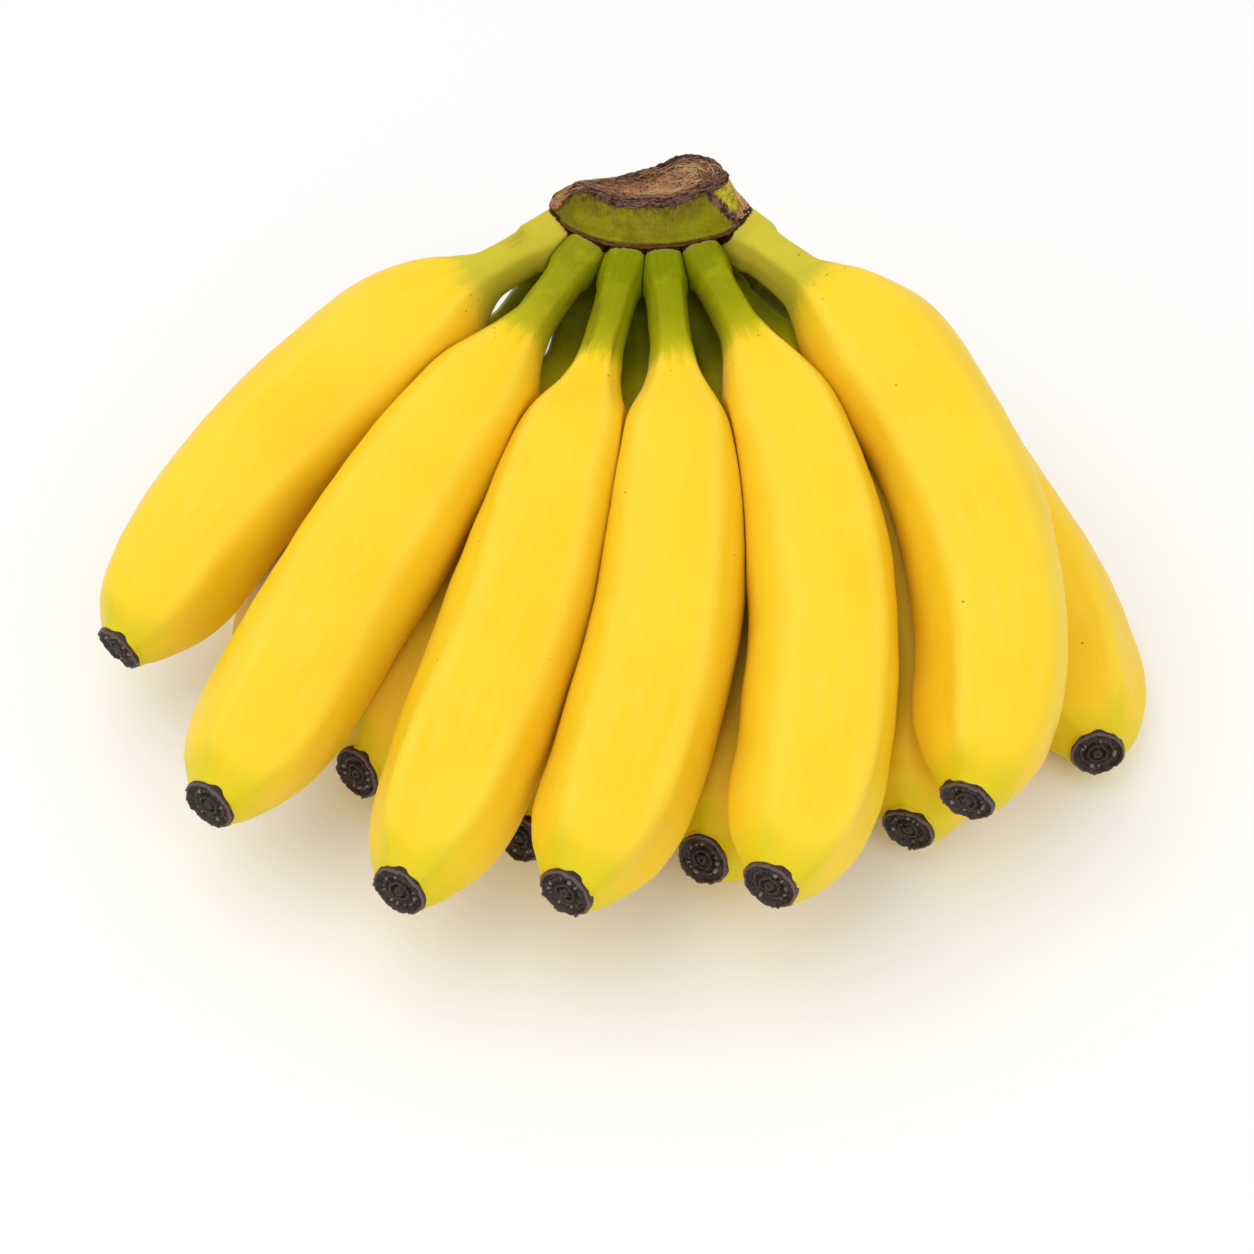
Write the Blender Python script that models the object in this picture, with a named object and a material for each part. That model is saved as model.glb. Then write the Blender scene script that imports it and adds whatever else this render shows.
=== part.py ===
"""A hand of twelve bananas on one crown, lying on a surface with its crown raised at the back.

+Z is up, the surface is z = 0, and the tips point towards -Y. Lengths are in millimetres up to the point where a
mesh is made, which is in metres. Each banana is one closed solid: a stalk, a five-sided body and a dark flower end.
"""

from collections import namedtuple

import bmesh
import bpy
import numpy as np

MM = 0.001

# The middle of the hand's own box, seen from above, which becomes the origin
HAND_MIDDLE = (-0.42, -0.43)

# Where the stalks leave the crown: two arcs of an ellipse round one middle, one for each row
CROWN_MIDDLE = (4.0, 84.0)
Row = namedtuple("Row", "half_width front_depth height")
TOP_ROW = Row(half_width=28.0, front_depth=23.0, height=70.5)
UNDER_ROW = Row(half_width=26.0, front_depth=18.0, height=57.0)

# Each banana: its row, its place on the crown in degrees from straight ahead, how far it leaves the crown above its
# row, where its flower end is, how far it bends from stalk to tip, which way it bends, where 0 is upwards and 90 is
# to its own right, how much fuller its shoulder and how much slimmer its neck is, and how thick its stalk is against
# the others
Banana = namedtuple("Banana", "row place rise tip bend lean shoulder neck stalk")
BANANAS = {
    "banana_top_1": Banana(TOP_ROW, -54, 2.0, (-116, -16, 25), 34, -97, 1.5, 0.0, 1.08),
    "banana_top_2": Banana(TOP_ROW, -33, 1.2, (-89, -65, 33), 20, -45, 0.0, 1.2, 1.0),
    "banana_top_3": Banana(TOP_ROW, -10, 0.3, (-47, -88, 35), 18, 8, 0.0, 2.8, 1.0),
    "banana_top_4": Banana(TOP_ROW, 9.2, 0.3, (-13, -89, 36), 30, 66, 0.0, 2.8, 1.0),
    "banana_top_5": Banana(TOP_ROW, 29.5, 1.1, (29, -88, 37), 46, 78, 0.0, 0.8, 1.0),
    "banana_top_6": Banana(TOP_ROW, 58, 1.2, (72, -64, 33), 62, 100, 2.0, 0.0, 1.18),
    "banana_under_1": Banana(UNDER_ROW, -61, 0.0, (-87, -15, 14), 44, -27, 0.0, 0.0, 1.12),
    "banana_under_2": Banana(UNDER_ROW, -33, 0.0, (-61, -43, 14), 41, 17, 0.0, 0.0, 1.12),
    "banana_under_3": Banana(UNDER_ROW, -5, 0.0, (-24, -61, 15), 52, 35, 0.0, 0.0, 1.12),
    "banana_under_4": Banana(UNDER_ROW, 20, 0.0, (16, -68, 17), 66, 50, 0.0, 0.0, 1.12),
    "banana_under_5": Banana(UNDER_ROW, 43, 0.0, (62, -57, 12), 62, 84, 0.0, 0.0, 1.12),
    "banana_under_6": Banana(UNDER_ROW, 74, 0.0, (107, -36, 12), 60, 62, 0.0, 0.0, 1.12),
}

# The radius of a banana at shares of its length, from the crown to the flower end
GIRTH = (
    (0.00, 5.6), (0.03, 5.5), (0.06, 5.35), (0.11, 5.6), (0.15, 7.7), (0.19, 10.7), (0.23, 12.7), (0.30, 14.7),
    (0.40, 16.1), (0.55, 16.8), (0.72, 16.9), (0.84, 16.2), (0.90, 14.7), (0.945, 12.2), (0.975, 9.4), (1.00, 6.4),
)
SHOULDER_MIDDLE = 0.27
SHOULDER_SIZE = 0.10
NECK_MIDDLE = 0.19
NECK_SIZE = 0.05
STALK_END = 0.13
BODY_START = 0.24
STALK_WIDTH_SHARE = 0.90
STALK_HEIGHT_SHARE = 1.22
# A stalk is this much less tall at its root, which tucks it under the crown's lip
ROOT_FLATTENING = 0.18
ROOT_END = 0.03
# A banana bends between these shares of its length, and this share of its bend is gathered towards the middle
BEND_START = 0.08
BEND_END = 0.98
GATHERED = 0.4
# Over its last stretch a banana swings aside and up by this much, so that its flower end sits off its middle
SWING = np.array([-1.4, 0.0, 1.6])
SWING_START = 0.80

# How far the five ridges stand out, as a share of the radius, along the banana
RIDGES = 5
RIDGE_RISE = ((0.00, 0.0), (0.12, 0.01), (0.22, 0.04), (0.45, 0.02), (0.70, 0.02), (0.90, 0.06), (1.00, 0.03))
# The flat between two ridges faces this way, up and towards the tips
FACING = np.array([0.0, -0.45, 0.89])

# The dark flower end: rings given as how far each is past the body's end, and its radius
FLOWER_END = ((0.3, 6.0), (1.8, 5.8), (2.5, 4.8), (1.6, 3.3), (2.0, 1.5))
FLOWER_MIDDLE = 2.3
FLOWER_LENGTH = 2.5
# Its face looks this much more aside and up than the body's end
FLOWER_TURN = np.array([-0.08, 0.0, 0.16])

# Where neighbours press on each other their skins part along a flat, this far from each other
GAP = 0.5
HALVINGS = 14

SPINE_STEPS = 60
SIDES = 20
SHARP_ANGLE = 50.0
RING_SHARES = (
    0.0, 0.02, 0.06, 0.10, 0.14, 0.17, 0.20, 0.24, 0.30, 0.38, 0.47, 0.56, 0.65, 0.73, 0.80, 0.86, 0.905, 0.945, 0.975,
    1.0,
)

# The crown: rings from its foot up to its lip and its rim, then inwards over the cut face. Each has a height, the
# places of its left and right ends, and the y of its front, of its widest line and of its back.
CrownRing = namedtuple("CrownRing", "height left right front widest back")
CROWN_RINGS = (
    CrownRing(49.0, -7.0, 15.0, 74.0, 81.0, 87.0),
    CrownRing(54.0, -12.0, 20.0, 71.0, 80.5, 90.0),
    CrownRing(66.0, -15.5, 24.5, 67.5, 79.0, 90.5),
    CrownRing(75.5, -16.9, 27.2, 64.0, 76.4, 87.8),
    CrownRing(77.5, -18.2, 29.0, 62.1, 75.3, 86.7),
    CrownRing(78.5, -17.6, 28.2, 63.1, 75.0, 85.6),
    CrownRing(83.5, -17.4, 25.4, 65.0, 74.2, 81.6),
    CrownRing(86.4, -17.6, 23.0, 66.2, 73.8, 79.2),
    CrownRing(87.3, -17.4, 21.6, 67.2, 73.6, 78.3),
    CrownRing(86.6, -14.0, 18.0, 69.4, 73.5, 76.8),
)
CROWN_SIDES = 32
CUT_FACE_FLOOR = 85.4
# Above the lip the crown is shaped like a saddle: it falls to the lip at its left end, its front has two shoulders,
# its back is lower at the left, and a hump stands at the back right. The lip itself turns up at its left end.
LIP_HEIGHT = 78.4
FALL_FROM = -10.5
FALL_TO = -18.0
FALL_SHARE = 0.88
SHOULDER_RISE = 2.0
BACK_FALL = 3.9
LIP_TILT = 1.3
RISE_FROM = 80.0
RISE_TO = 86.0
Hump = namedtuple("Hump", "x y rise size")
HUMP = Hump(16.5, 78.5, 4.7, 7.6)

# The crown's stub for each stalk: its length, its width as a share of the stalk's at its outer and inner end, the
# gap between it and the stalk, and how much of it neighbours keep clear of
STUB_LENGTH = 15.0
STUB_SHARE = 0.84
STUB_INNER_SHARE = 0.5
STUB_GAP = 0.3
STUB_CORE = 6.0
STUB_STEPS = 4

STALK_GREEN = (0.32, 0.45, 0.03)
PEEL_YELLOW = (0.95, 0.62, 0.02)
FLOWER_BROWN = (0.035, 0.022, 0.02)
CROWN_GREEN = (0.25, 0.33, 0.03)


def clear_scene():
    for obj in list(bpy.data.objects):
        bpy.data.objects.remove(obj)


def material(name, colour, roughness):
    """A plain skin or cut surface."""
    made = bpy.data.materials.new(name)
    made.use_nodes = True
    shader = made.node_tree.nodes["Principled BSDF"]
    shader.inputs["Base Color"].default_value = (*colour, 1.0)
    shader.inputs["Roughness"].default_value = roughness
    shader.inputs["Metallic"].default_value = 0.0
    return made


def unit(vectors):
    return vectors / np.linalg.norm(vectors, axis=-1, keepdims=True)


def through(stations, at):
    """A smooth curve through stations of (place, value) that never swings past one, read at each place in at."""
    places, values = np.array(stations).T
    steps = np.diff(places)
    slopes = np.diff(values) / steps
    level = slopes[:-1] * slopes[1:] <= 0
    inner = np.where(level, 0.0, 2 * slopes[:-1] * slopes[1:] / np.where(level, 1.0, slopes[:-1] + slopes[1:]))
    tangents = np.concatenate([slopes[:1], inner, slopes[-1:]])
    left = np.clip(np.searchsorted(places, at, side="right") - 1, 0, len(steps) - 1)
    x = (at - places[left]) / steps[left]
    start = (1 + 2 * x) * (1 - x) ** 2 * values[left] + x * (1 - x) ** 2 * steps[left] * tangents[left]
    end = x * x * (3 - 2 * x) * values[left + 1] + x * x * (x - 1) * steps[left] * tangents[left + 1]
    return start + end


def ramp(values, start, end):
    """0 before start, 1 after end and smooth between them."""
    x = np.clip((values - start) / (end - start), 0.0, 1.0)
    return x * x * (3 - 2 * x)


def root_of(banana):
    """The middle of the stalk's end, where it meets the crown."""
    place = np.radians(banana.place)
    x = CROWN_MIDDLE[0] + banana.row.half_width * np.sin(place)
    y = CROWN_MIDDLE[1] - banana.row.front_depth * np.cos(place)
    return np.array([x, y, banana.row.height + banana.rise])


def spine_of(banana):
    """Points and headings along the middle of a banana: a level arc, stood on its end points and leaned over."""
    shares = np.linspace(0.0, 1.0, SPINE_STEPS + 1)
    along = np.clip((shares - BEND_START) / (BEND_END - BEND_START), 0.0, 1.0)
    turn = np.radians(banana.bend) * (GATHERED * ramp(along, 0.0, 1.0) + (1 - GATHERED) * along)
    flat_headings = np.stack([np.cos(turn), np.sin(turn)], axis=1)
    flat_points = np.vstack([[0.0, 0.0], np.cumsum((flat_headings[1:] + flat_headings[:-1]) / 2, axis=0)])
    flat_points /= SPINE_STEPS
    root = root_of(banana)
    chord = np.array(banana.tip, float) - SWING - root
    onward = unit(chord)
    length = np.linalg.norm(chord) / np.linalg.norm(flat_points[-1])
    to_right = unit(np.array([onward[1], -onward[0], 0.0]))
    upward = np.cross(to_right, onward)
    lean = np.radians(banana.lean)
    bend_way = np.cos(lean) * upward + np.sin(lean) * to_right
    swing = np.arctan2(flat_points[-1, 1], flat_points[-1, 0])
    first = np.cos(swing) * onward - np.sin(swing) * bend_way
    second = np.sin(swing) * onward + np.cos(swing) * bend_way
    points = root + length * (flat_points[:, :1] * first + flat_points[:, 1:] * second)
    headings = flat_headings[:, :1] * first + flat_headings[:, 1:] * second
    return points, headings, length


def rings_of(banana, shares, sides):
    """The skin as rings of points, with each ring's middle, mean radius and heading. The body ends short of the
    spine's end by the length of the flower end."""
    points, headings, length = spine_of(banana)
    spine_shares = np.linspace(0.0, 1.0, len(points))
    at = shares * (1 - FLOWER_LENGTH / length)
    middles = np.stack([np.interp(at, spine_shares, points[:, i]) for i in range(3)], axis=1)
    onward = unit(np.stack([np.interp(at, spine_shares, headings[:, i]) for i in range(3)], axis=1))
    swung = np.clip((shares - SWING_START) / (1 - SWING_START), 0.0, 1.0)[:, None]
    middles = middles + SWING * swung**2
    onward = unit(onward + SWING * 2 * swung / (length * (1 - SWING_START)))
    across = unit(np.cross(onward, FACING))
    facing = np.cross(across, onward)
    radius = through(GIRTH, shares) * (1 + (banana.stalk - 1) * (1 - ramp(shares, STALK_END, BODY_START)))
    radius = radius + banana.shoulder * np.exp(-(((shares - SHOULDER_MIDDLE) / SHOULDER_SIZE) ** 2))
    radius = radius - banana.neck * np.exp(-(((shares - NECK_MIDDLE) / NECK_SIZE) ** 2))
    body = ramp(shares, STALK_END, BODY_START)
    width = radius * (STALK_WIDTH_SHARE + (1 - STALK_WIDTH_SHARE) * body)
    height = radius * (STALK_HEIGHT_SHARE + (1 - STALK_HEIGHT_SHARE) * body)
    height = height * (1 - ROOT_FLATTENING * (1 - ramp(shares, 0.0, ROOT_END)))
    turn = 2 * np.pi * np.arange(sides) / sides
    ridge = 1 - through(RIDGE_RISE, shares)[:, None] * np.cos(RIDGES * turn)[None]
    sideways = (width[:, None] * np.sin(turn)[None] * ridge)[..., None] * across[:, None]
    outward = (height[:, None] * np.cos(turn)[None] * ridge)[..., None] * facing[:, None]
    return middles[:, None] + sideways + outward, middles, radius, onward


def core_of(banana):
    """The middle line and mean radius of a banana and of the crown's stub behind it, close enough to measure from."""
    _, middles, radius, onward = rings_of(banana, np.linspace(0.0, 1.0, SPINE_STEPS + 1), SIDES)
    back = np.linspace(STUB_CORE, 0.0, STUB_STEPS, endpoint=False)[:, None]
    return np.concatenate([middles[0] - back * onward[0], middles]), np.append(np.full(STUB_STEPS, radius[0]), radius)


def depth_in(points, spine, radius):
    """How far each point is outside the round body of a spine, in mm, or inside it as a negative number."""
    reach = np.linalg.norm(points[..., None, :] - spine, axis=-1) - radius
    return reach.min(axis=-1)


def part_from_neighbours(skin, middles, radius, neighbours):
    """Draws in each point that is nearer to a neighbour's skin than to its own, along the line to its own middle."""
    centres = np.broadcast_to(middles[:, None], skin.shape)
    own_radius = np.broadcast_to(radius[:, None], skin.shape[:2])
    for spine, girth in neighbours:
        low = np.zeros(skin.shape[:2])
        high = np.ones(skin.shape[:2])
        crossing = np.linalg.norm(skin - centres, axis=-1) - own_radius - depth_in(skin, spine, girth) > -GAP
        if not crossing.any():
            continue
        for _ in range(HALVINGS):
            share = (low + high) / 2
            tried = centres + share[..., None] * (skin - centres)
            over = np.linalg.norm(tried - centres, axis=-1) - own_radius - depth_in(tried, spine, girth) > -GAP
            high = np.where(over, share, high)
            low = np.where(over, low, share)
        skin = np.where(crossing[..., None], centres + low[..., None] * (skin - centres), skin)
    return skin


def solid_from_rings(name, rings, first_middle, last_middle, materials):
    """A closed mesh through rings of points in mm, moved to the origin, with a point at each end."""
    shift = np.array([HAND_MIDDLE[0], HAND_MIDDLE[1], 0.0])
    shape = bmesh.new()
    loops = [[shape.verts.new((point - shift) * MM) for point in ring] for ring in rings]
    start = shape.verts.new((first_middle - shift) * MM)
    end = shape.verts.new((last_middle - shift) * MM)
    count = len(loops[0])
    for i in range(count):
        j = (i + 1) % count
        shape.faces.new((start, loops[0][j], loops[0][i]))
        for near, far in zip(loops, loops[1:]):
            shape.faces.new((near[i], near[j], far[j], far[i]))
        shape.faces.new((end, loops[-1][i], loops[-1][j]))
    bmesh.ops.recalc_face_normals(shape, faces=shape.faces)
    bmesh.ops.triangulate(shape, faces=shape.faces)
    mesh = bpy.data.meshes.new(name)
    shape.to_mesh(mesh)
    shape.free()
    for one in materials:
        mesh.materials.append(one)
    mesh.shade_smooth()
    mesh.set_sharp_from_angle(angle=np.radians(SHARP_ANGLE))
    obj = bpy.data.objects.new(name, mesh)
    bpy.context.scene.collection.objects.link(obj)
    return obj


def add_banana(name, cores, materials):
    """One banana, its skin parted from its neighbours, flat where it rests, with its flower end."""
    skin, middles, radius, onward = rings_of(BANANAS[name], np.array(RING_SHARES), SIDES)
    skin = part_from_neighbours(skin, middles, radius, [core for key, core in cores.items() if key != name])
    end_heading = unit(onward[-1] + FLOWER_TURN)
    across = unit(np.cross(end_heading, FACING))
    turn = 2 * np.pi * np.arange(SIDES)[:, None] / SIDES
    from_middle = np.sin(turn) * across + np.cos(turn) * np.cross(across, end_heading)
    flower = [middles[-1] + past * end_heading + size * from_middle for past, size in FLOWER_END]
    rings = np.concatenate([skin, np.array(flower)])
    rings[..., 2] = np.maximum(rings[..., 2], 0.0)
    last_middle = middles[-1] + FLOWER_MIDDLE * end_heading
    banana = solid_from_rings(name, rings, middles[0], last_middle, materials)
    paint_lengthwise(banana)


def paint_lengthwise(banana):
    """Gives each face the stalk's, the peel's or the flower end's material, by the ring it starts from."""
    peel_from = sum(share < STALK_END for share in RING_SHARES)
    flower_from = len(RING_SHARES) - 1
    for face in banana.data.polygons:
        ring = min(face.vertices) // SIDES
        face.material_index = int(ring >= peel_from) + int(ring >= flower_from)


def crown_loop(ring):
    """One ring of the crown."""
    turn = 2 * np.pi * np.arange(CROWN_SIDES) / CROWN_SIDES
    reach = np.where(np.sin(turn) > 0, ring.right - CROWN_MIDDLE[0], CROWN_MIDDLE[0] - ring.left)
    depth = np.where(np.cos(turn) > 0, ring.widest - ring.front, ring.back - ring.widest)
    x = CROWN_MIDDLE[0] + reach * np.sin(turn)
    y = ring.widest - depth * np.cos(turn)
    return np.stack([x, y, crown_height(x, y, ring.height)], axis=1)


def crown_height(x, y, height):
    """How high a place of a ring is: level below the lip, and shaped like a saddle above it."""
    fall = FALL_SHARE * ramp(-x, -FALL_FROM, -FALL_TO)
    hump = HUMP.rise * np.exp(-(np.hypot(x - HUMP.x, y - HUMP.y) / HUMP.size) ** 3) * ramp(y, 69.0, 75.0)
    shoulders = SHOULDER_RISE * ramp(np.abs(x - CROWN_MIDDLE[0]), 5.0, 14.0) * (1 - ramp(y, 70.0, 76.0))
    back = BACK_FALL * (1 - ramp(x, -9.0, 9.0)) * ramp(y, 71.0, 78.0)
    saddle = (hump + shoulders - back) * ramp(height, RISE_FROM, RISE_TO) * (1 - fall)
    tilt = LIP_TILT * ramp(-x, 0.0, 18.0) * ramp(height, 70.0, 77.0)
    return height - np.maximum(height - LIP_HEIGHT, 0.0) * fall + saddle + tilt


def add_stub(name, banana):
    """The short part of a stalk that belongs to the crown, from just short of the banana to inside the crown."""
    skin, middles, _, onward = rings_of(banana, np.array(RING_SHARES[:2]), SIDES)
    outline = skin[0] - middles[0]
    outer = middles[0] - STUB_GAP * onward[0]
    inner = middles[0] - STUB_LENGTH * onward[0]
    rings = np.array([inner + STUB_INNER_SHARE * outline, outer + STUB_SHARE * outline])
    return solid_from_rings(name, rings, inner, outer, [])


def join(target, others):
    """Unites others with target in one solid, and removes them."""
    group = bpy.data.collections.new("stubs")
    for other in others:
        bpy.context.scene.collection.objects.unlink(other)
        group.objects.link(other)
    union = target.modifiers.new("Union", "BOOLEAN")
    union.operation = "UNION"
    union.operand_type = "COLLECTION"
    union.collection = group
    union.solver = "EXACT"
    graph = bpy.context.evaluated_depsgraph_get()
    united = bpy.data.meshes.new_from_object(target.evaluated_get(graph))
    target.modifiers.remove(union)
    target.data = united
    for other in others:
        bpy.data.objects.remove(other)
    bpy.data.collections.remove(group)


def add_crown(materials):
    """The crown: a cushion with a lip, a green crescent and a dished cut face, joined with a stub for each stalk."""
    loops = np.array([crown_loop(ring) for ring in CROWN_RINGS])
    foot = np.array([*loops[0].mean(axis=0)[:2], CROWN_RINGS[0].height])
    floor = np.array([*loops[-1].mean(axis=0)[:2], CUT_FACE_FLOOR])
    crown = solid_from_rings("crown", loops, foot, floor, materials)
    join(crown, [add_stub("stub_" + name, banana) for name, banana in BANANAS.items()])
    return crown


def main():
    clear_scene()
    banana_materials = [
        material("stalk_green", STALK_GREEN, 0.5),
        material("peel_yellow", PEEL_YELLOW, 0.42),
        material("flower_end_brown", FLOWER_BROWN, 0.6),
    ]
    cores = {name: core_of(banana) for name, banana in BANANAS.items()}
    for name in BANANAS:
        add_banana(name, cores, banana_materials)
    add_crown([material("crown_green", CROWN_GREEN, 0.6)])


main()
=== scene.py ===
"""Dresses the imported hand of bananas, lights it and looks down on it.

Twelve skins with ridges, knuckles and flower ends replace the plain fruits. A crown with a lip, a green
crescent, a fibrous cut face and loose fibres replaces the plain crown. Lengths are in millimetres up to the
point where a mesh is made, which is in metres.
"""

from collections import namedtuple

import bpy
import numpy as np
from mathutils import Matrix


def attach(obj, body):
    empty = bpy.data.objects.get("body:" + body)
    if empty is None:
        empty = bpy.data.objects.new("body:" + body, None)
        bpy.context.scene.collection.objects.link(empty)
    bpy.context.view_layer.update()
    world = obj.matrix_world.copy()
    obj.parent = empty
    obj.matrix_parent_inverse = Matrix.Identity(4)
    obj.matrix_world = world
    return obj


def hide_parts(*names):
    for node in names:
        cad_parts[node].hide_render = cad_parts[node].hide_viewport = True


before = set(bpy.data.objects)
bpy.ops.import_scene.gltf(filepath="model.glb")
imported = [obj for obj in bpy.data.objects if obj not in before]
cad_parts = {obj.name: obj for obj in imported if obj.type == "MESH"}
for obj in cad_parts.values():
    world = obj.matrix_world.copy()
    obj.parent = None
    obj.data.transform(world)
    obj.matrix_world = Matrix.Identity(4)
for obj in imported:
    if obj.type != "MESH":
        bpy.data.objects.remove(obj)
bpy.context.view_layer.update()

MM = 0.001

# The hand's layout, as its solids have it
HAND_MIDDLE = (-0.42, -0.43)
CROWN_MIDDLE = (4.0, 84.0)
Row = namedtuple("Row", "half_width front_depth height")
TOP_ROW = Row(half_width=28.0, front_depth=23.0, height=70.5)
UNDER_ROW = Row(half_width=26.0, front_depth=18.0, height=57.0)

# Each banana, left to right: its row, its place on the crown in degrees from straight ahead, its rise above
# the row, its flower end, how far it bends and which way (0 is up, 90 to its own right), how much fuller its
# shoulder and slimmer its neck is, and its stalk's size against the others
Banana = namedtuple("Banana", "row place rise tip bend lean shoulder neck stalk")
TOP_BANANAS = (
    (-54, 2.0, (-116, -16, 25), 34, -97, 1.5, 0.0, 1.08),
    (-33, 1.2, (-89, -65, 33), 20, -45, 0.0, 1.2, 1.0),
    (-10, 0.3, (-47, -88, 35), 18, 8, 0.0, 2.8, 1.0),
    (9.2, 0.3, (-13, -89, 36), 30, 66, 0.0, 2.8, 1.0),
    (29.5, 1.1, (29, -88, 37), 46, 78, 0.0, 0.8, 1.0),
    (58, 1.2, (72, -64, 33), 62, 100, 2.0, 0.0, 1.18),
)
UNDER_BANANAS = (
    (-61, 0.0, (-87, -15, 14), 44, -27, 0.0, 0.0, 1.12),
    (-33, 0.0, (-61, -43, 14), 41, 17, 0.0, 0.0, 1.12),
    (-5, 0.0, (-24, -61, 15), 52, 35, 0.0, 0.0, 1.12),
    (20, 0.0, (16, -68, 17), 66, 50, 0.0, 0.0, 1.12),
    (43, 0.0, (62, -57, 12), 62, 84, 0.0, 0.0, 1.12),
    (74, 0.0, (107, -36, 12), 60, 62, 0.0, 0.0, 1.12),
)
BANANAS = {
    f"banana_{layer}_{number}": Banana(row, *values)
    for layer, row, table in (("top", TOP_ROW, TOP_BANANAS), ("under", UNDER_ROW, UNDER_BANANAS))
    for number, values in enumerate(table, 1)
}

# The radius of a banana at shares of its length, from the crown to the flower end
GIRTH = (
    (0.00, 5.6), (0.03, 5.5), (0.06, 5.35), (0.11, 5.6), (0.15, 7.7), (0.19, 10.7), (0.23, 12.7),
    (0.30, 14.7), (0.40, 16.1), (0.55, 16.8), (0.72, 16.9), (0.84, 16.2), (0.90, 14.7), (0.945, 12.2),
    (0.975, 9.4), (1.00, 6.4),
)
SHOULDER_MIDDLE = 0.27
SHOULDER_SIZE = 0.10
NECK_MIDDLE = 0.19
NECK_SIZE = 0.05
STALK_END = 0.13
BODY_START = 0.24
STALK_WIDTH_SHARE = 0.90
STALK_HEIGHT_SHARE = 1.22
ROOT_FLATTENING = 0.12
ROOT_END = 0.03
BEND_START = 0.08
BEND_END = 0.98
GATHERED = 0.4
SWING = np.array([-1.4, 0.0, 1.6])
SWING_START = 0.80
RIDGES = 5
FACING = np.array([0.0, -0.45, 0.89])
FLOWER_LENGTH = 2.5
FLOWER_TURN = np.array([-0.08, 0.0, 0.16])
SPINE_STEPS = 60
STUB_CORE = 6.0
STUB_STEPS = 4

# The skin is finer than the solids', with sharper ridges that differ from each other
SIDES = 96
STALK_RINGS, STALK_RINGS_END = 44, 0.06
BODY_RINGS, BODY_RINGS_END = 92, 0.88
TIP_RINGS = 26
RIDGE_RISE = (
    (0.00, 0.035), (0.03, 0.05), (0.12, 0.055), (0.22, 0.048), (0.45, 0.036), (0.70, 0.042), (0.90, 0.09),
    (1.00, 0.05),
)
RIDGE_ROUNDING = 0.10
RIDGE_WANDER = 0.08
# A stalk is wider at its root, runs on at full size for a little way into the crown and then narrows
ROOT_WIDENING = 0.11
WIDENING_FADE = (2.5, 9.0)
ROOT_RUN = 2.4
HIDDEN_STALK = 15.0
HIDDEN_TAPER = 0.5
KNUCKLE_LENGTH = 5.4
KNUCKLE_RISE = 0.032
KNUCKLE_CREASE = 0.045
# Soft bumps and long streaks on the skin, in mm, which are flatter on the body
BROAD_RISE, BROAD_WAVE = 0.22, 34.0
FINE_RISE, FINE_WAVE = 0.05, 11.0
STREAK_RISE, STREAK_FLATTER, STREAK_WAVE = 0.03, 0.015, 3.2
# Neighbours are kept a gap apart, and measured coarsely first, then in full where they are near
GAP = 0.12
CORE_STEPS = 240
COARSE_STEP = 8
NEAR = 3.0
HALVINGS = 14

# The last of the peel: how far each ring is past the body's end, and its size against the body's
COLLAR = ((0.35, 1.0), (0.75, 0.985), (0.95, 0.96), (1.0, 0.925), (0.1, 0.90))
EDGE_RINGS = 3

# The dark flower end, from inside the peel over its jagged rim to the nub: radius, and distance past the peel
FLOWER_PROFILE = (
    (4.8, -0.9), (5.6, -0.5), (6.05, 0.2), (6.05, 0.8), (6.0, 1.3), (5.9, 1.65), (5.7, 1.85), (5.42, 1.8),
    (5.15, 1.45), (4.9, 1.1), (4.55, 0.9), (4.2, 1.0), (3.8, 1.3), (3.4, 1.25), (3.0, 0.8), (2.75, 0.75),
    (2.5, 1.3), (2.25, 1.75), (1.95, 1.65), (1.7, 1.0), (1.45, 0.95), (1.15, 1.5), (0.8, 2.0), (0.5, 2.0),
    (0.25, 1.65), (0.1, 1.5),
)
FLOWER_SIDES = 168
FLOWER_RINGS = 60
# Its parts by radius and width, and how far they stand up. Pairs of numbers are heights and wavelengths.
RIM_AT, RIM_WIDTH = 5.75, 0.3
RIM_STEPS = 4.5
JAGS = ((0.08, 0.5), (0.03, 0.16))
SPIKES = 6
BEADS = 13
BEADS_AT, BEAD_WIDTH, BEAD_RISE = 3.75, 0.52, 0.58
RING_AT, RING_WIDTH, RING_RISE, RING_LOBES = 2.15, 0.45, 0.14, 5
FOLDS_AT, FOLDS_WIDTH, FOLDS_RISE = 4.6, 0.5, 0.10
DISC_BUMPS = ((0.10, 3.2), (0.06, 1.1), (0.025, 0.5))
DISC_TOP = 1.55

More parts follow.
